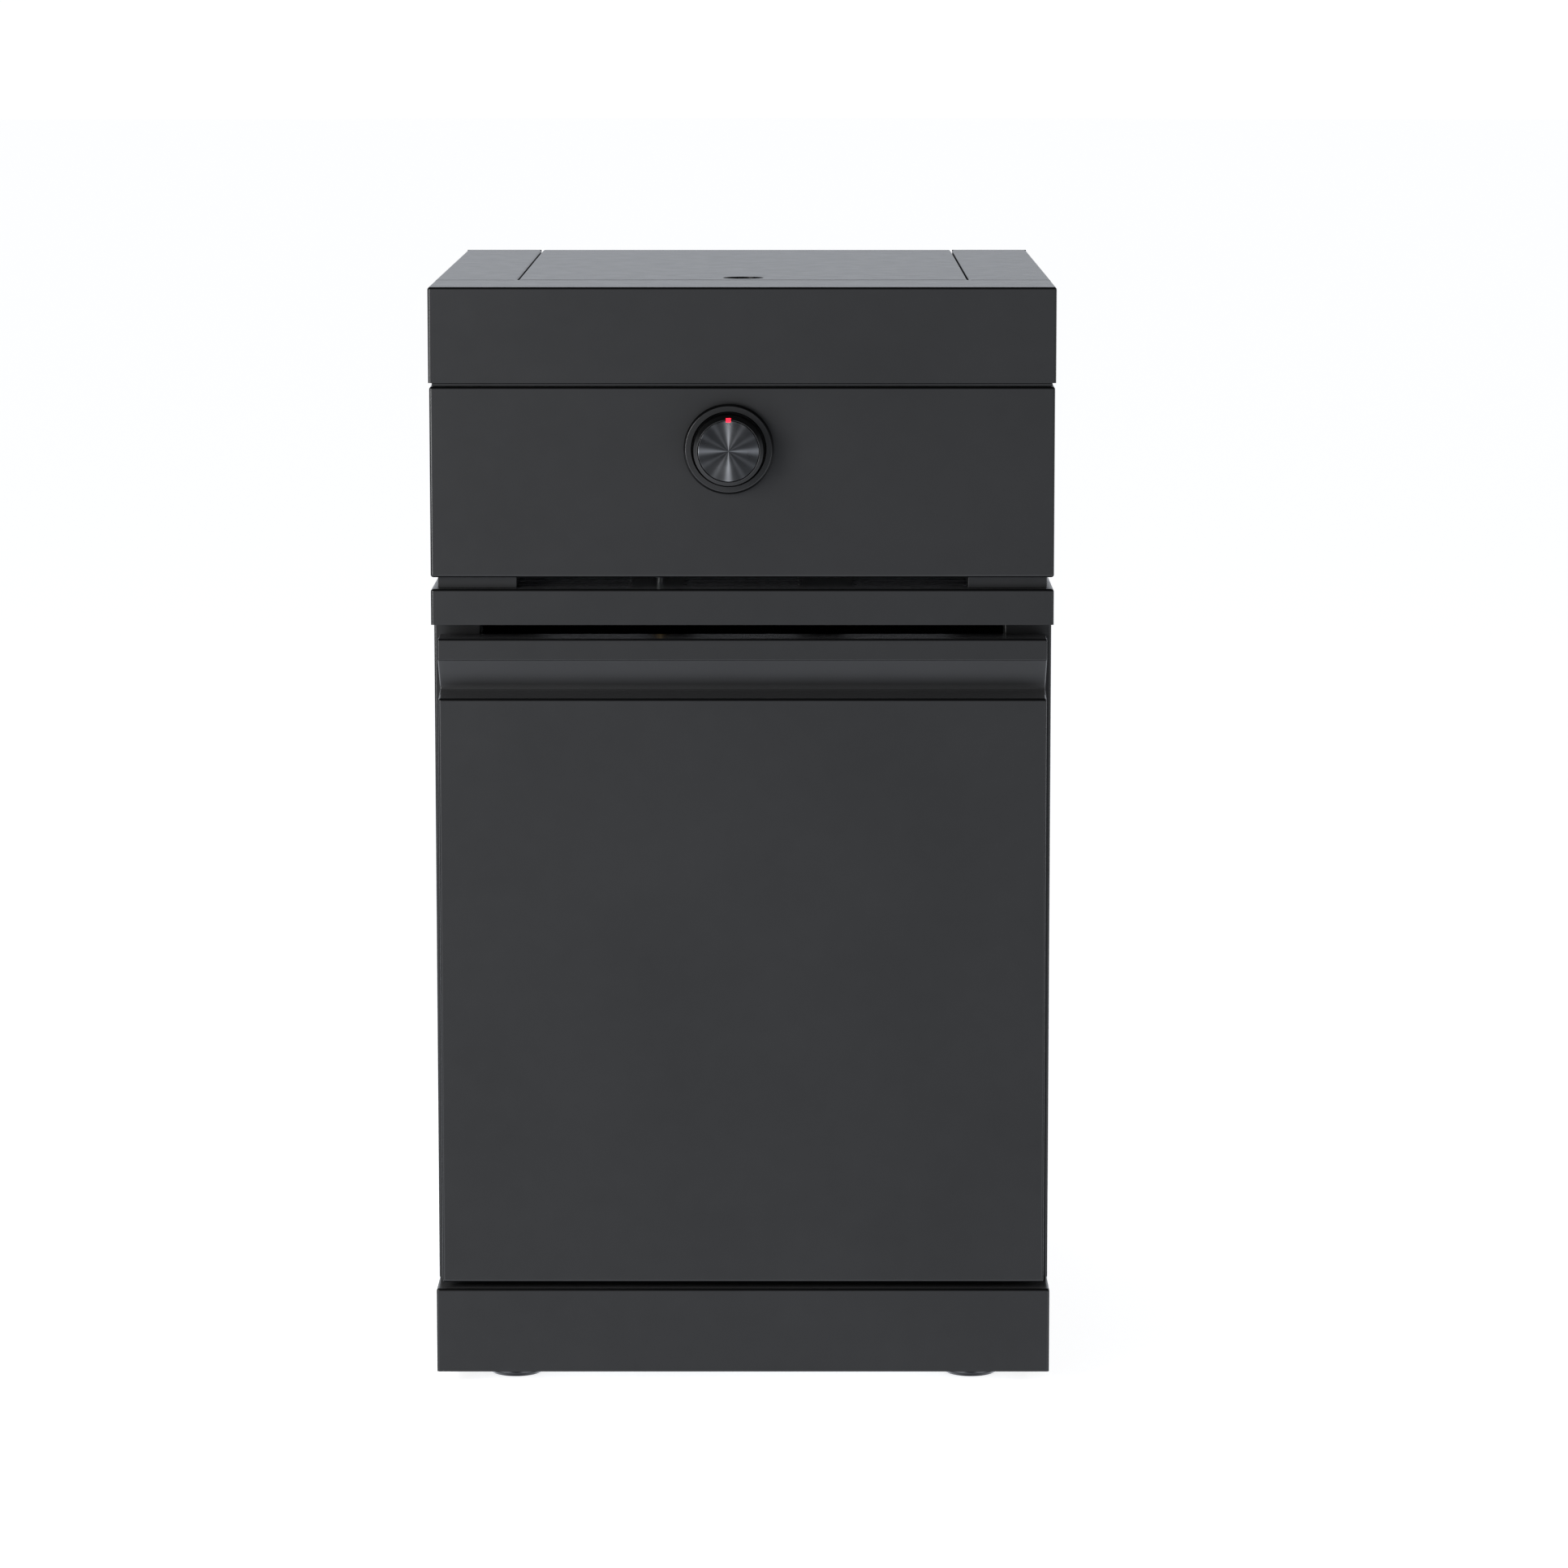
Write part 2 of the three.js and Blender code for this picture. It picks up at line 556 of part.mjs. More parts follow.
// The union nut and the tail that the cylinder's hose pushes onto.
add('hose_connector', join(
  rod('z', 9.5, [PIPE.end - 12, PIPE.end - GAP], [PIPE.x, PIPE.y], 6),
  turned('z', [
    [0, 626], [4.5, 626], [5.8, 630], [4.6, 633], [5.8, 637], [4.6, 640], [5.8, 644],
    [4.6, 647], [4.6, PIPE.end - 11], [0, PIPE.end - 11],
  ], [PIPE.x, PIPE.y], 16),
), brass);

// ---------------------------------------------------------------- knob

const knobCentre = [KNOB_X, KNOB_Z];
const FACE_Y = FRONT - KNOB_REACH;

add('knob_bezel', turned('y', [
  [BEZEL_BORE, FRONT - GAP], [BEZEL_BORE, FRONT - 6.3], [BEZEL_BORE + 0.7, FRONT - 7],
  [BEZEL_RADIUS - 2.4, FRONT - 7], [BEZEL_RADIUS, FRONT - 4], [BEZEL_RADIUS, FRONT - GAP],
  [BEZEL_BORE, FRONT - GAP],
], knobCentre, 48), satin);

const STEM_END = FRONT - 18;
add('valve_stem', rod('y', STEM_RADIUS, [STEM_END, FRONT + 24], knobCentre, 12), brass);

// The collar that the tap's spring presses forward. The knob has to be pushed in against it
// before it turns.
add('stem_collar', cut(
  rod('y', 7, [FRONT - 5.5, FRONT + 0.4], knobCentre, 20),
  rod('y', STEM_RADIUS + 0.4, [FRONT - 7, FRONT + 2], knobCentre, 20),
), steel);

// A hollow cap with a hub on the stem. Its face has a recess for the disc, a chamfer round it,
// and a notch at the top for the pointer.
const CHAMFER = 2.8;
const POINTER = { half: 2, low: 23.5, high: 26.9 };
const pointerNotch = block(
  [KNOB_X - POINTER.half - GAP, KNOB_X + POINTER.half + GAP], [FACE_Y - 1, FACE_Y + 1.5],
  [KNOB_Z + POINTER.low - GAP, KNOB_Z + KNOB_RADIUS]);
add('control_knob', cut(
  turned('y', [
    [0, FACE_Y + 1.8], [DISC_RADIUS + 0.4, FACE_Y + 1.8], [DISC_RADIUS + 0.4, FACE_Y],
    [KNOB_RADIUS - 0.9 - CHAMFER, FACE_Y], [KNOB_RADIUS - 0.9, FACE_Y + CHAMFER],
    [KNOB_RADIUS, FRONT - 5], [KNOB_RADIUS - 2.5, FRONT - 5], [KNOB_RADIUS - 3.5, FACE_Y + 4.5],
    [9, FACE_Y + 4.5], [9, FRONT - 6], [STEM_RADIUS + 0.5, FRONT - 6],
    [STEM_RADIUS + 0.5, STEM_END - 1], [0, STEM_END - 1],
  ], knobCentre, 60),
  pointerNotch,
), satin);

const disc = rod('y', DISC_RADIUS, [FACE_Y + 0.4, FACE_Y + 1.5], knobCentre, 60);
add('knob_disc', cut(disc, pointerNotch), spun);

add('knob_pointer', block([KNOB_X - POINTER.half, KNOB_X + POINTER.half],
  [FACE_Y + 0.1, FACE_Y + 1.2], [KNOB_Z + POINTER.low, KNOB_Z + POINTER.high]), marker);

// ---------------------------------------------------------------- door

// Room behind the skin and in its right-hand edge for a hinge arm to swing through.
const hingeNotches = Object.values(HINGE_HEIGHTS).map((z) =>
  block([PIVOT_X + 5.5, HALF], [FRONT + 7, DOOR_BACK + 1], [z - ARM_HALF - 6, z + ARM_HALF + 6]));
const linerNotches = Object.values(HINGE_HEIGHTS).map((z) =>
  block([218, HALF], [DOOR_BACK - 1, FRAME_Y], [z - ARM_HALF - 6, z + ARM_HALF + 6]));

// The skin's top is the floor of the finger groove. It climbs to the back, so that rain runs off.
const grooveFloor = (depth) => DOOR_PANEL_TOP + GROOVE_RISE * depth;
const skinOutline = (wall, back) => [
  [FRONT + wall, DOOR_BOTTOM + wall], [back, DOOR_BOTTOM + wall],
  [back, grooveFloor(back - FRONT) - wall], [FRONT + wall, grooveFloor(wall) - wall],
];
const skinHalf = [-DOOR_HALF, DOOR_HALF];
add('door_skin', cut(
  draw('x', skinOutline(0, DOOR_BACK), skinHalf),
  draw('x', skinOutline(SHEET, DOOR_BACK + 1), [SHEET - DOOR_HALF, DOOR_HALF - SHEET]),
  ...hingeNotches,
), coat);

// The grip is a hollow section: a strip flush with the door, and under it a face that slopes
// back and down to make the finger groove.
const gripOutline = [
  [FRONT, DOOR_TOP], [FRONT, DOOR_TOP - GRIP_LIP],
  [FRONT + GRIP_DEPTH, grooveFloor(GRIP_DEPTH) + 2 * GAP],
  [DOOR_BACK, grooveFloor(DOOR_BACK - FRONT) + 2 * GAP], [DOOR_BACK, DOOR_TOP],
];
const gripHollow = draw('x', inset(gripOutline, SHEET), [-DOOR_HALF - 1, DOOR_HALF + 1]);
add('door_grip', cut(draw('x', gripOutline, [-DOOR_HALF, DOOR_HALF]), gripHollow), coat);

for (const [hand, sign] of SIDES) {
  const across = [sign * (DOOR_HALF - 2.5), sign * (DOOR_HALF - 0.5)].sort((a, b) => a - b);
  add('grip_end_' + hand, draw('x', inset(gripOutline, SHEET + GAP), across), plastic);
}

add('door_liner', cut(
  block([1.5 - DOOR_HALF, DOOR_HALF - 1.5], [DOOR_BACK + GAP, DOOR_BACK + GAP + SHEET],
    [DOOR_BOTTOM + 1.5, DOOR_TOP - 1.5]),
  ...linerNotches,
), coat);

const pivot = [PIVOT_X, PIVOT_Y];
for (const [place, z] of Object.entries(HINGE_HEIGHTS)) {
  // The arm is fixed to the stile and reaches into the door.
  const reach = [z - ARM_HALF, z + ARM_HALF];
  add('hinge_arm_' + place, cut(
    join(
      rod('z', 6, reach, pivot),
      block([PIVOT_X - 2.5, PIVOT_X + 2.5], [PIVOT_Y, FRAME_Y - GAP], reach),
      block([224, 247], [FRAME_Y - GAP - 2, FRAME_Y - GAP], reach),
    ),
    rod('z', PIVOT_RADIUS + 0.35, [reach[0] - 1, reach[1] + 1], pivot),
  ), zinc);

  // A bracket on the inside of the door's skin holds the pin above and below the arm.
  const ears = [-1, 1].map((sign) => {
    const ear = [z + sign * (ARM_HALF + 0.8), z + sign * (ARM_HALF + 3.8)].sort((a, b) => a - b);
    return block([227, 247.7], [FRONT + SHEET + GAP, FRONT + 23], ear);
  });
  const web = block([222, 247.7], [FRONT + SHEET + GAP, FRONT + SHEET + GAP + 2],
    [z - ARM_HALF - 3.8, z + ARM_HALF + 3.8]);
  add('hinge_bracket_' + place, cut(
    join(web, ...ears),
    rod('z', PIVOT_RADIUS + 0.35, [z - 30, z + 30], pivot),
  ), zinc);
  add('hinge_pin_' + place, rod('z', PIVOT_RADIUS, [z - 21.5, z + 21.5], pivot, 12), steel);
}

// A magnet on the left stile pulls on a plate on the door's liner.
const CATCH_Z = [556, 600];
const LATCH_X = STILE - HALF + GAP;
add('magnet_catch', block([LATCH_X, LATCH_X + 16], [FRAME_Y + 0.5, FRAME_Y + 26], CATCH_Z), plastic);
add('strike_plate', block([LATCH_X - 1, LATCH_X + 17],
  [DOOR_BACK + SHEET + 2 * GAP, DOOR_BACK + SHEET + 2 * GAP + 1.6], CATCH_Z), zinc);

export default cabinet;
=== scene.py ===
"""The looks of the side burner cabinet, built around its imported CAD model.

Metres, +X right, +Y back, +Z up, as in the model. Visible panels are folded sheets with rounded
folds that stand for their square-edged CAD nodes, the knob and the feet are turned, and every
other node keeps its CAD shape with softened edges.
"""

import json
from math import cos, pi, radians, sin, tan

import bmesh
import bpy
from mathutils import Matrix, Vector


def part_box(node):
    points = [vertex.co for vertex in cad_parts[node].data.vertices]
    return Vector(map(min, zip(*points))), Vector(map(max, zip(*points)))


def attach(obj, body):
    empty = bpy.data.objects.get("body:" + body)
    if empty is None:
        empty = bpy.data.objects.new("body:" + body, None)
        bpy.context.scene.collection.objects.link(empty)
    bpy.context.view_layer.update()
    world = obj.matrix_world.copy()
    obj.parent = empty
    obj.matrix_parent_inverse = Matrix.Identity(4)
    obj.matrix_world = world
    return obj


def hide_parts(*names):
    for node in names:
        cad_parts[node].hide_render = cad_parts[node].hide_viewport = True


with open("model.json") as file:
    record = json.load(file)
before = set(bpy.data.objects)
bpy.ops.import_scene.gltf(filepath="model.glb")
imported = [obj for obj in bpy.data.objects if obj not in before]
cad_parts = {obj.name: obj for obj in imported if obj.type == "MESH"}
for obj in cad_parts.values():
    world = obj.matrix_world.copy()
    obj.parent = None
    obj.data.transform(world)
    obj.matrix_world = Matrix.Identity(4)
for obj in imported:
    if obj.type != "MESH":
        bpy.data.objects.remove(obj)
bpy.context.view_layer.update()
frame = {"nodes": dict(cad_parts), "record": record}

nodes = frame["nodes"]
record = frame["record"]
body_of = {n: body for body, names in record["behaviour"]["bodies"].items() for n in names}
slot_of = {part["node"]: part["material_slot"] for part in record["subparts"]}

MM = 0.001
SHEET = 1.5 * MM
FOLD = 2.2 * MM  # outer radius of a fold
FARAWAY = 1  # metres, past the object on any side
AXIS = {"x": 0, "y": 1, "z": 2}

# ---------------------------------------------------------------- materials


def noise(tree, where, scale, detail=2.0):
    node = tree.nodes.new("ShaderNodeTexNoise")
    node.inputs["Scale"].default_value = scale
    node.inputs["Detail"].default_value = detail
    tree.links.new(where, node.inputs["Vector"])
    return node.outputs["Fac"]


def spread(tree, value, low, high):
    """A noise value stretched to a range. Noise lies mostly between 0.3 and 0.7."""
    node = tree.nodes.new("ShaderNodeMapRange")
    node.inputs["From Min"].default_value = 0.3
    node.inputs["From Max"].default_value = 0.7
    node.inputs["To Min"].default_value = low
    node.inputs["To Max"].default_value = high
    tree.links.new(value, node.inputs["Value"])
    return node.outputs["Result"]


def blend_colours(tree, factor, first, second):
    node = tree.nodes.new("ShaderNodeMix")
    node.data_type = "RGBA"
    tree.links.new(factor, node.inputs["Factor"])
    node.inputs["A"].default_value = (*first, 1)
    node.inputs["B"].default_value = (*second, 1)
    return node.outputs["Result"]


def surface(name, colour, roughness, metallic=0.0, mottle=0.08, gloss_spread=0.05,
            grain=1100.0, relief=0.02 * MM, stretch=(1, 1, 1), **sockets):
    """A finish whose colour and gloss drift over the surface, with a fine relief on top."""
    made = bpy.data.materials.new(name)
    made.use_nodes = True
    tree = made.node_tree
    shader = tree.nodes["Principled BSDF"]
    place = tree.nodes.new("ShaderNodeMapping")
    place.inputs["Scale"].default_value = stretch
    tree.links.new(tree.nodes.new("ShaderNodeTexCoord").outputs["Object"], place.inputs["Vector"])
    where = place.outputs["Vector"]
    broad = noise(tree, where, 9.0, 3.0)
    fine = noise(tree, where, grain, 3.0)
    darker = [c * (1 - mottle) for c in colour]
    lighter = [min(1, c * (1 + mottle)) for c in colour]
    drift = spread(tree, broad, 0, 1)
    tree.links.new(blend_colours(tree, drift, darker, lighter), shader.inputs["Base Color"])
    gloss = spread(tree, noise(tree, where, 60.0, 4.0), roughness - gloss_spread,
                   roughness + gloss_spread)
    tree.links.new(gloss, shader.inputs["Roughness"])
    bump = tree.nodes.new("ShaderNodeBump")
    bump.inputs["Strength"].default_value = 1.0
    bump.inputs["Distance"].default_value = relief
    tree.links.new(fine, bump.inputs["Height"])
    tree.links.new(bump.outputs["Normal"], shader.inputs["Normal"])
    shader.inputs["Metallic"].default_value = metallic
    for socket, value in sockets.items():
        shader.inputs[socket.replace("_", " ")].default_value = value
    return made


# Painted shade and light: how light the coat's colour is painted on faces that look from straight
# down, -1, to straight up, 1.
PANEL_PAINTED_SHADING = ((-1, 0.45), (-0.94, 0.05), (-0.3, 0.05), (-0.08, 0.45), (0.08, 0.45),
               (0.3, 0.04), (0.94, 0.04), (0.985, 1))
GROOVE_PAINTED_SHADING = ((-1, 0.95), (-0.6, 0.95), (0.2, 0.5), (0.9, 0.8), (1, 1))
KNOB_PAINTED_SHADE = ((-1, 0.7), (-0.3, 0.55), (0.1, 0.45), (0.35, 0.05), (1, 0.04))
# The same for faces that look from straight left to straight right.
UPRIGHT_PAINTED_SHADE = ((-1, 1), (-0.96, 1), (-0.85, 0.1), (-0.3, 0.1), (-0.08, 1), (0.08, 1),
                 (0.3, 0.1), (0.85, 0.1), (0.96, 1), (1, 1))


def tone_ramp(tree, value, stops):
    """Levels, none over 1, for a value from -1 to 1."""
    scaled = tree.nodes.new("ShaderNodeMapRange")
    scaled.inputs["From Min"].default_value = -1
    tree.links.new(value, scaled.inputs["Value"])
    node = tree.nodes.new("ShaderNodeValToRGB")
    elements = node.color_ramp.elements
    for element, (place, level) in zip(elements, (stops[0], stops[-1])):
        element.position = (place + 1) / 2
        element.color = (level, level, level, 1)
    for place, level in stops[1:-1]:
        elements.new((place + 1) / 2).color = (level, level, level, 1)
    tree.links.new(scaled.outputs["Result"], node.inputs["Fac"])
    return node


def painted_shading_by_facing(made, tones):
    """Painted shade and light: the coat's colour is darkened by the way a face looks, and painted
    darkest on rounded folds. The painted tones go with the normal's Z, and if there is a second
    set, also with its X."""
    tree = made.node_tree
    shader = tree.nodes["Principled BSDF"]
    split = tree.nodes.new("ShaderNodeSeparateXYZ")
    tree.links.new(tree.nodes["Texture Coordinate"].outputs["Normal"], split.inputs[0])
    for axis, stops in zip("ZX", tones):
        tone = tone_ramp(tree, split.outputs[axis], stops)
        mix = tree.nodes.new("ShaderNodeMix")
        mix.data_type = "RGBA"
        mix.blend_type = "MULTIPLY"
        mix.inputs["Factor"].default_value = 1
        tree.links.new(shader.inputs["Base Color"].links[0].from_socket, mix.inputs["A"])
        tree.links.new(tone.outputs["Color"], mix.inputs["B"])
        tree.links.new(mix.outputs["Result"], shader.inputs["Base Color"])
    return made


def coat(name, finish, *tones):
    """Black paint with a finish of roughness, its spread and the relief, and sets of tones that
    paint shade and light into its colour by the way each face looks.
    """
    roughness, gloss_spread, relief = finish
    made = surface(name, COAT_BLACK, roughness, mottle=0.05, gloss_spread=gloss_spread,
                   relief=relief, IOR=COAT_IOR)
    return painted_shading_by_facing(made, tones)


BRUSH_ALONG_X = (1, 40, 40)
COAT_BLACK = (0.0213, 0.0214, 0.0218)
COAT_IOR = 1.25
POWDER = (0.26, 0.012, 0.008 * MM)
SATIN = (0.24, 0.02, 0.004 * MM)
materials = {
    # These coats carry painted shade on their folds and painted light on flat tops, by how each
    # face looks.
    "powder_coat": coat("powder_coat", POWDER, PANEL_PAINTED_SHADING, UPRIGHT_PAINTED_SHADE),
    "satin_black": coat("satin_black", SATIN, PANEL_PAINTED_SHADING, UPRIGHT_PAINTED_SHADE),
    "black_plastic": surface("black_plastic", (0.006, 0.006, 0.007), 0.2, gloss_spread=0.03,
                             relief=0.008 * MM, IOR=1.3),
    "zinc_plate": surface("zinc_plate", (0.2, 0.205, 0.215), 0.48, 0.9, mottle=0.18,
                          gloss_spread=0.1, grain=260.0),
    "stainless_steel": surface("stainless_steel", (0.52, 0.53, 0.54), 0.3, 1.0, mottle=0.05,
                               grain=180.0, stretch=BRUSH_ALONG_X, Anisotropic=0.5),
    "cast_iron": surface("cast_iron", (0.018, 0.018, 0.02), 0.55, mottle=0.15, gloss_spread=0.1,
                         grain=700.0, relief=0.12 * MM),
    "brass": surface("brass", (0.3, 0.21, 0.09), 0.45, 1.0, mottle=0.08, grain=500.0),
    "rubber": surface("rubber", (0.012, 0.012, 0.012), 0.75, grain=900.0, relief=0.05 * MM),
    "ceramic": surface("ceramic", (0.8, 0.78, 0.73), 0.18, mottle=0.03, gloss_spread=0.03),
    # The red mark glows faintly: painted light, though it is no lamp.
    "red_marker": surface("red_marker", (0.95, 0.002, 0.02), 0.35, mottle=0.03,
                          Emission_Color=(1, 0.004, 0.03, 1), Emission_Strength=0.45),
}

# ---------------------------------------------------------------- meshes


def fillet(points, radius, closed=False, steps=5):
    """The outline with its corners rounded, less where a side is too short for the radius. The
    radius is one number, or one for each corner, where 0 leaves it sharp."""
    radii = radius if isinstance(radius, list) else [radius] * len(points)
    rounded = []
    for i, (point, radius) in enumerate(zip(points, radii)):
        corner = Vector(point)
        if radius == 0 or not closed and i in (0, len(points) - 1):
            rounded.append(corner)
            continue
        before = Vector(points[i - 1]) - corner
        after = Vector(points[(i + 1) % len(points)]) - corner
        reach = min(radius / tan(before.angle(after) / 2), before.length * 0.48,
                    after.length * 0.48)
        start = corner + before.normalized() * reach
        end = corner + after.normalized() * reach
        for step in range(steps + 1):
            t = step / steps
            rounded.append(start.lerp(corner, t).lerp(corner.lerp(end, t), t))
    return rounded


def at(axis, u, v, along):
    """A point from a flat outline's u and v, and its distance along the axis left over."""
    return {"x": (along, u, v), "y": (u, along, v), "z": (u, v, along)}[axis]


def box_mesh(low, high):
    mesh = bmesh.new()
    bmesh.ops.create_cube(mesh, size=1)
    for vert in mesh.verts:
        vert.co = [low[i] + (vert.co[i] + 0.5) * (high[i] - low[i]) for i in range(3)]
    return mesh


def folded_box(low, high, open_sides, radius=FOLD):
    """The skin of a box with some sides, such as "-z", left out and its folds rounded."""
    mesh = box_mesh(low, high)
    mesh.normal_update()
    gone = [face for face in mesh.faces for side in open_sides
            if face.normal[AXIS[side[1]]] * (1 if side[0] == "+" else -1) > 0.9]
    bmesh.ops.delete(mesh, geom=gone, context="FACES_ONLY")
    loose = [edge for edge in mesh.edges if not edge.link_faces]
    bmesh.ops.delete(mesh, geom=loose, context="EDGES")
    folds = [edge for edge in mesh.edges if len(edge.link_faces) == 2]
    bmesh.ops.bevel(mesh, geom=folds, offset=radius, segments=6, profile=0.5, affect="EDGES")
    return mesh


def drawn_sheet(axis, points, span, radius=FOLD):
    """The skin of a folded strip: an outline with rounded corners, drawn along an axis."""
    mesh = bmesh.new()
    ends = [[mesh.verts.new(at(axis, u, v, along)) for u, v in fillet(points, radius)]
            for along in span]
    for i in range(len(ends[0]) - 1):
        mesh.faces.new((ends[0][i], ends[0][i + 1], ends[1][i + 1], ends[1][i]))
    mesh.normal_update()
    mesh.faces.ensure_lookup_table()
    low = Vector(min(vert.co[i] for vert in mesh.verts) for i in range(3))
    high = Vector(max(vert.co[i] for vert in mesh.verts) for i in range(3))
    first = mesh.faces[0]
    if first.normal.dot(first.calc_center_median() - (low + high) / 2) < 0:
        bmesh.ops.reverse_faces(mesh, faces=mesh.faces)
    return mesh


def drawn_solid(axis, points, span, end_radius):
    """A closed outline drawn along an axis, with the edges round its two ends rounded."""
    mesh = bmesh.new()
    ends = [[mesh.verts.new(at(axis, u, v, along)) for u, v in points] for along in span]
    count = len(points)
    for i in range(count):
        j = (i + 1) % count
        mesh.faces.new((ends[0][i], ends[0][j], ends[1][j], ends[1][i]))
    caps = [mesh.faces.new(ends[0][::-1]), mesh.faces.new(ends[1])]
    bmesh.ops.recalc_face_normals(mesh, faces=mesh.faces)
    rims = [edge for cap in caps for edge in cap.edges]
    bmesh.ops.bevel(mesh, geom=rims, offset=end_radius, segments=4, profile=0.5, affect="EDGES",
                    clamp_overlap=True)
    return mesh


def turned(axis, centre, profile, steps, ridge=0.0, ridged=()):
    """A turned solid from (radius, distance along the axis) points. On the points from
    ridged[0] to ridged[1] every other step is cut back by the ridge's height."""
    mesh = bmesh.new()
    rings = []
    for i, (radius, along) in enumerate(profile):
        if radius < 1e-6:
            rings.append([mesh.verts.new(at(axis, *centre, along))])
            continue
        cut = ridge if ridged and ridged[0] <= along <= ridged[1] else 0
        ring = []
        for step in range(steps):
            r = radius - cut * (step % 2)
            turn = 2 * pi * step / steps
            ring.append(mesh.verts.new(
                at(axis, centre[0] + r * cos(turn), centre[1] + r * sin(turn), along)))
        rings.append(ring)
    for first, second in zip(rings, rings[1:]):
        for step in range(steps):
            after = (step + 1) % steps
            corners = [first[step % len(first)], first[after % len(first)],
                       second[after % len(second)], second[step % len(second)]]
            mesh.faces.new(list(dict.fromkeys(corners)))
    bmesh.ops.recalc_face_normals(mesh, faces=mesh.faces)
    return mesh


def plain_object(name, mesh):
    data = bpy.data.meshes.new(name)
    mesh.to_mesh(data)
    mesh.free()
    made = bpy.data.objects.new(name, data)
    bpy.context.scene.collection.objects.link(made)
    return made


def settle(made, smooth_below=32):
    """Turns an object's modifiers into mesh, and shades it smooth except at real edges."""
    graph = bpy.context.evaluated_depsgraph_get()
    data = bpy.data.meshes.new_from_object(made.evaluated_get(graph))
    made.modifiers.clear()
    made.data = data
    data.shade_smooth()
    data.set_sharp_from_angle(angle=radians(smooth_below))
    weighted = made.modifiers.new("normals", "WEIGHTED_NORMAL")
    weighted.keep_sharp = True
    return made


def piece(name, mesh, *replaced, thickness=0.0, cuts=(), slot=None):
    """An object that stands for CAD nodes. A skin is given a sheet's thickness inwards, then
    the cuts, each a mesh, are taken away."""
    made = plain_object(name, mesh)
    if thickness:
        wall = made.modifiers.new("sheet", "SOLIDIFY")
        wall.thickness = thickness
        wall.offset = -1
        wall.use_even_offset = True
    tools = [plain_object(name + "_cut", cut) for cut in cuts]
    for tool in tools:
        taken = made.modifiers.new("cut", "BOOLEAN")
        taken.operation = "DIFFERENCE"
        taken.solver = "EXACT"
        taken.object = tool
    settle(made)
    for tool in tools:
        bpy.data.objects.remove(tool)
    slot = slot or slot_of[replaced[0]]
    made.data.materials.clear()
    made.data.materials.append(materials[slot])
    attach(made, body_of[replaced[0]])
    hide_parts(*replaced)
    return made


def sides():
    return (("left", -1), ("right", 1))


def mirrored(sign, points):
    return [(sign * u, v) for u, v in points]


# ---------------------------------------------------------------- plinth and cupboard

plinth_low, plinth_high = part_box("plinth")
piece("plinth_cover", folded_box(plinth_low, plinth_high, ["-z"]), "plinth", thickness=SHEET)

half = plinth_high.x
front = plinth_low.y
back = plinth_high.y
FLANGE = 20 * MM
BROAD_FLANGE = 30 * MM

for hand, sign in sides():
    low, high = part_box("side_panel_" + hand)
    width = high.x - low.x
    outline = [(half - width, low.y + BROAD_FLANGE), (half - width, low.y), (half, low.y),
               (half, back), (half - FLANGE, back)]
    piece("cupboard_side_" + hand, drawn_sheet("z", mirrored(sign, outline), (low.z, high.z)),
          "side_panel_" + hand, thickness=SHEET)


def slot_cutter(x, other, axis, low, high, length=98 * MM, width=9 * MM):
    """A bar with round ends, its length along X, that cuts a ventilation slot."""
    mesh = bmesh.new()
    reach = length / 2 - width / 2
    outline = []
    for end, start in ((1, -pi / 2), (-1, pi / 2)):
        outline += [(x + end * reach + width / 2 * cos(start + pi * step / 8),
                     other + width / 2 * sin(start + pi * step / 8)) for step in range(9)]
    rings = [[mesh.verts.new(at(axis, u, v, along)) for u, v in outline]
             for along in (low, high)]
    for i in range(len(outline)):
        j = (i + 1) % len(outline)
        mesh.faces.new((rings[0][i], rings[0][j], rings[1][j], rings[1][i]))
    mesh.faces.new(rings[0][::-1])
    mesh.faces.new(rings[1])
    bmesh.ops.recalc_face_normals(mesh, faces=mesh.faces)
    return mesh


SLOT_COLUMNS = (-139.5 * MM, 0, 139.5 * MM)
FIRST_ROW = 35 * MM
ROW_PITCH = 28.5 * MM
PIPE_HOLE = 8 * MM  # radius
deck_low, deck_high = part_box("vent_deck")
lip_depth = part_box("side_panel_left")[0].y - front - 0.6 * MM
gas_pipe = sum(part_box("hose_connector"), Vector()) / 2
deck_cuts = [
    box_mesh((-FARAWAY, front + lip_depth, deck_low.z - MM),
             (FARAWAY, FARAWAY, deck_high.z - SHEET)),
    turned("z", (gas_pipe.x, gas_pipe.y), [(0, deck_low.z), (PIPE_HOLE, deck_low.z),
           (PIPE_HOLE, deck_high.z + MM), (0, deck_high.z + MM)], 24),
]
deck_cuts += [slot_cutter(x, front + FIRST_ROW + ROW_PITCH * row, "z", deck_high.z - 3 * MM,
                          deck_high.z + MM) for row in range(6) for x in SLOT_COLUMNS]
piece("vent_deck_cover", folded_box(deck_low, deck_high, ["-z", "+y"]), "vent_deck",
      thickness=SHEET, cuts=deck_cuts)

# ---------------------------------------------------------------- door

GROOVE_RISE = 0.14  # the groove's floor climbs this much for each metre back
GROOVE_DEPTH = 31.4 * MM  # of the slope's lower end
STRIP_HEIGHT = 17.5 * MM  # of the flat part above the groove
LIP_DEPTH = 16 * MM  # of the skin's fold under the groove
ARM_ROOM = 6 * MM  # above and below a hinge arm
ARM_CLEAR_X = 5.5 * MM
ARM_CLEAR_Y = 7 * MM

skin_low, skin_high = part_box("door_skin")
grip_low, grip_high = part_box("door_grip")
groove_front = skin_high.z - GROOVE_RISE * (skin_high.y - front)
strip_bottom = grip_high.z - STRIP_HEIGHT
slope_end = front + GROOVE_DEPTH


def groove_floor(y):
    return groove_front + GROOVE_RISE * (y - front)


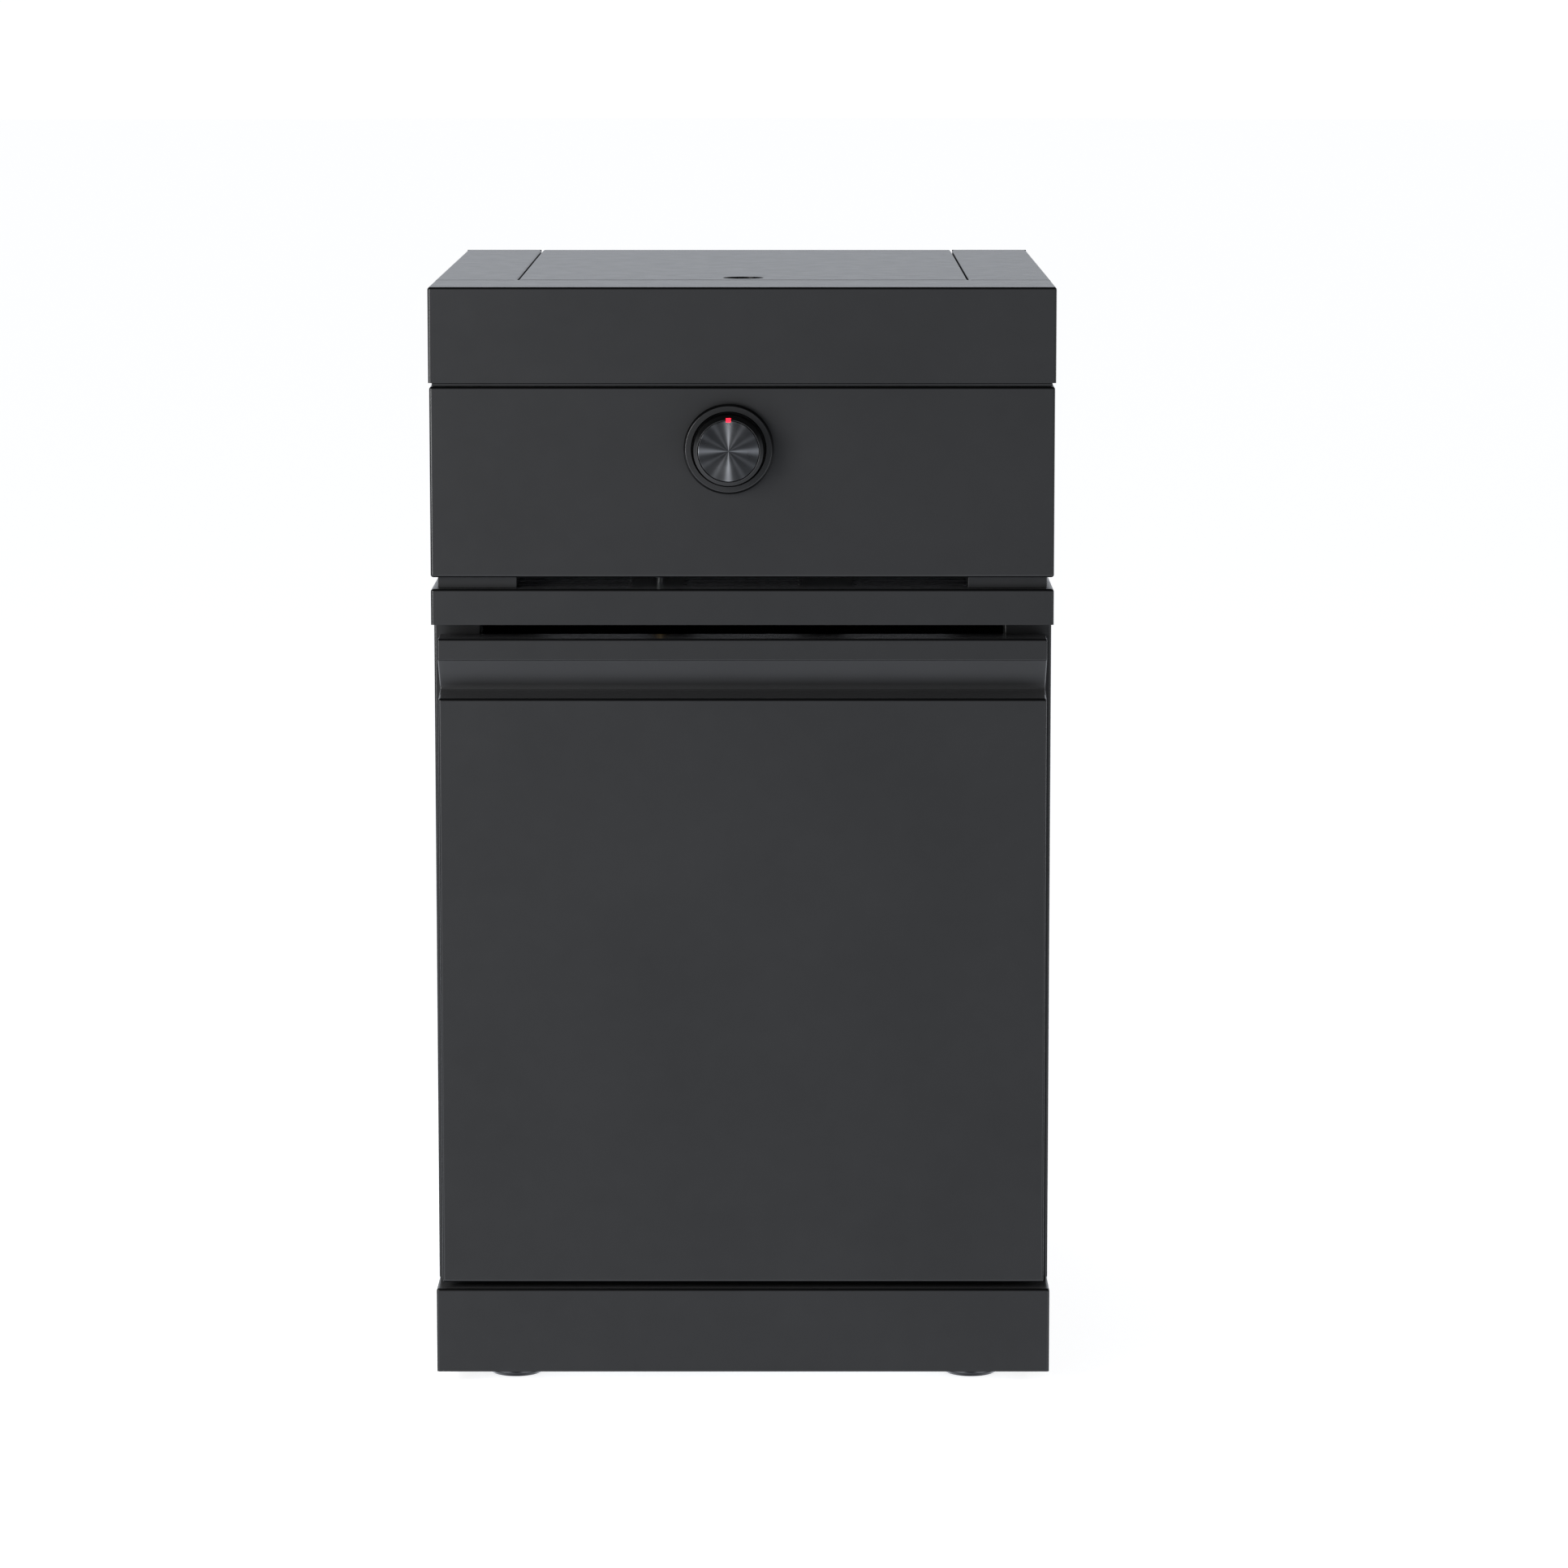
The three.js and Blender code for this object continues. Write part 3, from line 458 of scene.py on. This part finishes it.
hinge_cuts = []
for place in ("lower", "upper"):
    low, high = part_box("hinge_arm_" + place)
    pin_low, pin_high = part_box("hinge_pin_" + place)
    pivot_x = (pin_low.x + pin_high.x) / 2
    hinge_cuts.append(box_mesh((pivot_x + ARM_CLEAR_X, front + ARM_CLEAR_Y, low.z - ARM_ROOM),
                               (half + MM, skin_high.y + MM, high.z + ARM_ROOM)))

# The skin's top is sheared to the groove's slope, and its rear part is left to the grip.
skin = folded_box(skin_low, (skin_high.x, skin_high.y, groove_front), ["+y"])
for vert in skin.verts:
    if vert.co.z > groove_front - 2 * FOLD:
        vert.co.z += GROOVE_RISE * (vert.co.y - front)
lip = front + LIP_DEPTH
grip_room = box_mesh((-FARAWAY, lip, groove_front - 0.3 * MM), (FARAWAY, FARAWAY, FARAWAY))
piece("door_front", skin, "door_skin", thickness=SHEET, cuts=[*hinge_cuts, grip_room])

# The slope of the groove ends in a bend, from which the section comes forward to the skin's lip.
grip_corners = [
    (front, grip_high.z), (front, strip_bottom),
    (slope_end, groove_floor(slope_end)),
    (lip + 0.1 * MM, groove_floor(lip)), (lip + 0.1 * MM, groove_front),
    (grip_high.y, groove_front), (grip_high.y, grip_high.z),
]
STRIP_FOLD = 1.5 * MM
GROOVE_BEND = 3.2 * MM
grip_radii = [FOLD, STRIP_FOLD, GROOVE_BEND, 0, 0, 0, FOLD]
grip_outline = [tuple(point) for point in fillet(grip_corners, grip_radii, closed=True)]
grip = piece("door_grip_section",
             drawn_solid("x", grip_outline, (grip_low.x, grip_high.x), 1.4 * MM),
             "door_grip", "grip_end_left", "grip_end_right")

# The inside of the groove has painted shade and light of its own: its down-facing slope is
# painted lighter than the rest of the coat.
grip.data.materials.append(coat("groove_coat_painted_shading", POWDER, GROOVE_PAINTED_SHADING))
for face in grip.data.polygons:
    inside = (front + 1.2 * MM < face.center.y < grip_high.y - MM
              and face.center.z < grip_high.z - 3 * MM)
    face.material_index = int(inside)

# ---------------------------------------------------------------- burner box and hob top

FASCIA_DEPTH = 108.5 * MM
LEDGE_WIDTH = 16 * MM  # of the ledge that carries the bowl
FINGER_HOLE_DEPTH = 143.5 * MM  # from the front to the hole's centre
FINGER_HOLE = 17 * MM  # radius
LID_FOLD = 2.6 * MM
STEM_HOLE = 8 * MM  # radius

panel_low, panel_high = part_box("control_panel")
knob_low, knob_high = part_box("control_knob")
knob_centre = ((knob_low.x + knob_high.x) / 2, (knob_low.z + knob_high.z) / 2)


def disc_cutter(axis, centre, radius, low, high, steps=64):
    return turned(axis, centre, [(0, low), (radius, low), (radius, high), (0, high)], steps)


piece("control_panel_cover", folded_box(panel_low, panel_high, ["+y"]), "control_panel",
      thickness=SHEET,
      cuts=[disc_cutter("y", knob_centre, STEM_HOLE, panel_low.y - MM, panel_low.y + 4 * MM)])

for hand, sign in sides():
    low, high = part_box("burner_box_side_" + hand)
    outline = [(half - FLANGE, high.z), (half, high.z), (half, low.z),
               (half - BROAD_FLANGE, low.z)]
    piece("burner_box_cover_" + hand,
          drawn_sheet("y", mirrored(sign, outline), (low.y, high.y)),
          "burner_box_side_" + hand, thickness=SHEET)

    low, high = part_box("side_deck_" + hand)
    outer = max(abs(low.x), abs(high.x))
    ledge = min(abs(low.x), abs(high.x))
    well = ledge + LEDGE_WIDTH
    ledge_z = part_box("drip_bowl")[1].z - 2 * MM - SHEET
    outline = [(outer, low.z), (outer, high.z), (well, high.z), (well, ledge_z), (ledge, ledge_z)]
    piece("hob_side_" + hand, drawn_sheet("y", mirrored(sign, outline), (low.y, high.y)),
          "side_deck_" + hand, thickness=SHEET)

fascia_low, fascia_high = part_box("hob_fascia")
fascia_back = front + FASCIA_DEPTH
piece("hob_front", folded_box(fascia_low, (fascia_high.x, fascia_back, fascia_high.z), ["-z"]),
      "hob_fascia", thickness=SHEET)
for hand, sign in sides():
    low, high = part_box("lid_buffer_" + hand)
    tab = box_mesh((low.x - 8 * MM, fascia_back - MM, low.z - 0.3 * MM - SHEET),
                   (high.x + 8 * MM, fascia_high.y, low.z - 0.3 * MM))
    bmesh.ops.bevel(tab, geom=tab.edges[:], offset=0.4 * MM, segments=2, affect="EDGES")
    made = plain_object("buffer_tab_" + hand, tab)
    settle(made)
    made.data.materials.append(materials["powder_coat"])
    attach(made, "cabinet")

lid_low, lid_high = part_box("burner_lid")
piece("lid_cover", folded_box(lid_low, lid_high, ["-z"], LID_FOLD), "burner_lid",
      thickness=SHEET,
      cuts=[disc_cutter("z", (0, front + FINGER_HOLE_DEPTH), FINGER_HOLE, lid_high.z - 5 * MM,
                        lid_high.z + 5 * MM),
            box_mesh((-FARAWAY, lid_high.y - LID_FOLD, lid_low.z - MM),
                     (FARAWAY, FARAWAY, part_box("lid_hinge_body_leaf")[1].z - 2.9 * MM))])

# ---------------------------------------------------------------- knob


def outline_turned(name, node, corners, radius, steps, **options):
    """A turned piece about the knob's axis, from corners that are rounded first."""
    profile = fillet([(r * MM, y * MM) for r, y in corners], radius * MM)
    return piece(name, turned("y", knob_centre, profile, steps, **options), node)


front_mm = front / MM
face_mm = knob_low.y / MM
knob_mm = (knob_high.x - knob_low.x) / 2 / MM
bezel_low, bezel_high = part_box("knob_bezel")
bezel_mm = (bezel_high.x - bezel_low.x) / 2 / MM
disc_low, disc_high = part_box("knob_disc")
disc_mm = (disc_high.x - disc_low.x) / 2 / MM
KNURLS = 132

outline_turned("bezel_ring", "knob_bezel", [
    (knob_mm + 0.7, front_mm - 0.3), (knob_mm + 0.7, front_mm - 6.3),
    (knob_mm + 1.3, front_mm - 7), (bezel_mm - 1.8, front_mm - 7),
    (bezel_mm, front_mm - 5.4), (bezel_mm, front_mm - 3.6), (bezel_mm - 1.4, front_mm - 0.3),
    (knob_mm + 0.7, front_mm - 0.3),
], 0.9, 160)

edge_mm = knob_mm - 0.9
knob = outline_turned("knob_body", "control_knob", [
    (0, face_mm + 1.8), (disc_mm + 0.4, face_mm + 1.8), (disc_mm + 0.4, face_mm),
    (edge_mm - 2.8, face_mm), (edge_mm, face_mm + 2.6), (edge_mm, face_mm + 3.4),
    (knob_mm, front_mm - 5), (knob_mm - 2.5, front_mm - 5), (knob_mm - 3.5, face_mm + 4.5),
    (9, face_mm + 4.5), (9, front_mm - 6), (4.5, front_mm - 6), (4.5, front_mm - 19),
    (0, front_mm - 19),
], 0.3, 2 * KNURLS, ridge=0.4 * MM, ridged=((face_mm + 3.2) * MM, (front_mm - 4.5) * MM))
# The knob's coat is painted darker on faces that look up and across: painted shade.
knob.data.materials[0] = coat("knob_coat_painted_shade", SATIN, KNOB_PAINTED_SHADE)


RING_PITCH = 0.35 * MM


def spun_metal():
    """Dark metal turned on a lathe, over fine rings, with painted highlights: spokes of light
    that fan out from the middle, painted into its colour. The four main painted spokes are
    brighter than the eight between them."""
    dark = (0.02, 0.0205, 0.0215)
    light = (0.185, 0.189, 0.197)
    made = surface("spun_metal", dark, 0.3, 1.0, relief=0.0, Anisotropic=0.75)
    tree = made.node_tree
    shader = tree.nodes["Principled BSDF"]

    def maths(operation, *inputs):
        node = tree.nodes.new("ShaderNodeMath")
        node.operation = operation
        for socket, value in zip(node.inputs, inputs):
            if isinstance(value, (int, float)):
                socket.default_value = value
            else:
                tree.links.new(value, socket)
        return node.outputs[0]

    split = tree.nodes.new("ShaderNodeSeparateXYZ")
    tree.links.new(tree.nodes["Texture Coordinate"].outputs["Object"], split.inputs[0])
    x = maths("SUBTRACT", split.outputs["X"], knob_centre[0])
    z = maths("SUBTRACT", split.outputs["Z"], knob_centre[1])
    turn = maths("ARCTAN2", z, x)

    def spokes(fold, sharpness, gain):
        wave = maths("ABSOLUTE", maths("COSINE", maths("MULTIPLY", turn, fold)))
        return maths("MULTIPLY", maths("POWER", wave, sharpness), gain)

    # Painted highlights: the spokes are painted into the base colour.
    painted_highlight = maths("ADD", spokes(2, 30, 0.5), spokes(6, 5, 0.13))
    painted_highlight = maths("ADD", painted_highlight, spokes(2, 4, 0.08))
    tree.links.new(blend_colours(tree, painted_highlight, dark, light), shader.inputs["Base Color"])
    distance = maths("SQRT", maths("ADD", maths("MULTIPLY", x, x), maths("MULTIPLY", z, z)))
    rings = maths("SINE", maths("MULTIPLY", distance, 2 * pi / RING_PITCH))
    bump = next(node for node in tree.nodes if node.type == "BUMP")
    bump.inputs["Distance"].default_value = 0.004 * MM
    tree.links.new(rings, bump.inputs["Height"])
    tangent = tree.nodes.new("ShaderNodeTangent")
    tangent.direction_type = "RADIAL"
    tangent.axis = "Y"
    tree.links.new(tangent.outputs[0], shader.inputs["Tangent"])
    return made


materials["spun_metal"] = spun_metal()
outline_turned("knob_face", "knob_disc", [
    (0, disc_low.y / MM), (disc_mm - 0.4, disc_low.y / MM), (disc_mm, disc_low.y / MM + 0.3),
    (disc_mm, disc_high.y / MM), (0, disc_high.y / MM),
], 0.2, 160)

pointer_low, pointer_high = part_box("knob_pointer")
pointer = box_mesh(pointer_low, pointer_high)
bmesh.ops.bevel(pointer, geom=pointer.edges[:], offset=0.2 * MM, segments=2, affect="EDGES")
piece("knob_mark", pointer, "knob_pointer")

# ---------------------------------------------------------------- feet

for foot in [name for name in body_of if name.startswith("foot_") and "rail" not in name]:
    low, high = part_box(foot)
    centre = ((low.x + high.x) / 2, (low.y + high.y) / 2)
    corners = [(0, 0), (21.5, 0), (24.5, 3), (24.5, 8.2), (22.5, 9.5), (10, 9.5), (10, 13.5),
               (4, 13.5), (4, 58), (0, 58)]
    profile = fillet([(r * MM, z * MM) for r, z in corners], 1.2 * MM)
    piece(foot + "_turned", turned("z", centre, profile, 96), foot)

# ---------------------------------------------------------------- carried-over nodes

for name, node in nodes.items():
    if node.hide_render:
        continue
    node.data.materials.clear()
    node.data.materials.append(materials[slot_of[name]])
    node.data.shade_smooth()
    weld = node.modifiers.new("weld", "WELD")
    weld.merge_threshold = 0.01 * MM
    soften = node.modifiers.new("soften", "BEVEL")
    soften.width = (1.2 if name == "pan_support" else 0.35) * MM
    soften.segments = 2
    soften.limit_method = "ANGLE"
    soften.angle_limit = radians(40)
    normals = node.modifiers.new("normals", "WEIGHTED_NORMAL")
    normals.keep_sharp = False

# ---------------------------------------------------------------- studio


def white(name, strength, albedo):
    made = bpy.data.materials.new(name)
    made.use_nodes = True
    shader = made.node_tree.nodes["Principled BSDF"]
    shader.inputs["Base Color"].default_value = (albedo, albedo, albedo, 1)
    shader.inputs["Roughness"].default_value = 0.9
    shader.inputs["Specular IOR Level"].default_value = 0
    shader.inputs["Emission Color"].default_value = (1, 1, 1, 1)
    shader.inputs["Emission Strength"].default_value = strength
    return made


ROOM = 40.0
WORLD_TINT = (0.95, 0.99, 1.06)
WORLD_STRENGTH = 7.9
floor_mesh = bmesh.new()
bmesh.ops.create_grid(floor_mesh, x_segments=1, y_segments=1, size=ROOM)
floor = plain_object("studio_floor", floor_mesh)
floor.data.materials.append(white("studio_floor", 0.8, 0.6))
dome_mesh = bmesh.new()
bmesh.ops.create_icosphere(dome_mesh, subdivisions=4, radius=ROOM * 0.98)
dome = plain_object("studio_backdrop", dome_mesh)
dome.data.materials.append(white("studio_backdrop", 1.02, 0.0))
for stage in (floor, dome):
    stage.visible_diffuse = False
    stage.visible_glossy = False
    stage.visible_shadow = False


def studio_world():
    """Soft light from all round the horizon, cool, brightest behind and low in front where a
    white floor would throw it back, with a dark ceiling."""
    world = bpy.data.worlds.new("studio")
    world.use_nodes = True
    tree = world.node_tree
    split = tree.nodes.new("ShaderNodeSeparateXYZ")
    tree.links.new(tree.nodes.new("ShaderNodeTexCoord").outputs["Generated"], split.inputs[0])

    def ramp(value, stops):
        node = tone_ramp(tree, value, stops)
        node.color_ramp.interpolation = "EASE"
        return node.outputs["Color"]

    def vector_maths(operation, first, second):
        node = tree.nodes.new("ShaderNodeVectorMath")
        node.operation = operation
        tree.links.new(first, node.inputs[0])
        if isinstance(second, tuple):
            node.inputs[1].default_value = second
        else:
            tree.links.new(second, node.inputs[1])
        return node.outputs[0]

    low_front = vector_maths("MULTIPLY", ramp(split.outputs["Z"], (
        (-1, 0.1), (-0.8, 0.3), (-0.62, 0.8), (-0.45, 1), (-0.27, 1), (-0.1, 0.45), (0.05, 0.1),
        (1, 0))), ramp(split.outputs["Y"], (
            (-1, 0.03), (-0.94, 0.05), (-0.86, 0.9), (-0.55, 1), (-0.3, 0.35), (-0.1, 0.05),
            (1, 0))))
    behind = vector_maths("MULTIPLY", ramp(split.outputs["Z"], (
        (-1, 0.07), (-0.8, 0.16), (-0.45, 0.27), (-0.25, 0.15), (0.03, 0.103), (0.14, 0.117),
        (0.3, 0.11), (0.5, 0.06), (1, 0.05))), ramp(split.outputs["Y"], (
            (-1, 0.3), (-0.2, 0.2), (0.05, 0.25), (0.2, 0.7), (0.4, 1), (1, 1))))
    across = ramp(split.outputs["X"], ((-1, 1), (-0.3, 1), (0.3, 0.86), (1, 0.8)))
    level = vector_maths("MULTIPLY", vector_maths("ADD", low_front, behind), across)
    tint = vector_maths("MULTIPLY", level, WORLD_TINT)
    background = tree.nodes["Background"]
    tree.links.new(tint, background.inputs["Color"])
    background.inputs["Strength"].default_value = WORLD_STRENGTH
    bpy.context.scene.world = world


studio_world()


def softbox(name, place, target, size, power):
    light = bpy.data.lights.new(name, "AREA")
    light.shape = "RECTANGLE"
    light.size, light.size_y = size
    light.energy = power
    made = bpy.data.objects.new(name, light)
    made.location = place
    made.rotation_euler = (Vector(target) - Vector(place)).to_track_quat("-Z", "Y").to_euler()
    bpy.context.scene.collection.objects.link(made)


middle = (0, 0, 0.5)
softbox("left_softbox", (-1.3, -1.7, 1.0), middle, (0.8, 1.2), 75)
softbox("right_softbox", (3.2, 0.6, 1.2), middle, (1.2, 2.6), 45)

# ---------------------------------------------------------------- camera

CAMERA_RIGHT = 34.1 * MM
CAMERA_DISTANCE = 4782.4 * MM  # from the front of the cabinet
CAMERA_HEIGHT = 1177.8 * MM
CAMERA_DIP = 7.99  # degrees below level

lens = bpy.data.cameras.new("camera")
lens.sensor_width = 36
lens.lens = 134.92
lens.clip_end = 200
camera = bpy.data.objects.new("camera", lens)
camera.location = (CAMERA_RIGHT, front - CAMERA_DISTANCE, CAMERA_HEIGHT)
camera.rotation_euler = (radians(90 - CAMERA_DIP), 0, 0)
bpy.context.scene.collection.objects.link(camera)
bpy.context.scene.camera = camera

# Plain display colours, so that the pale floor and backdrop stay white.
bpy.context.scene.view_settings.view_transform = "Standard"
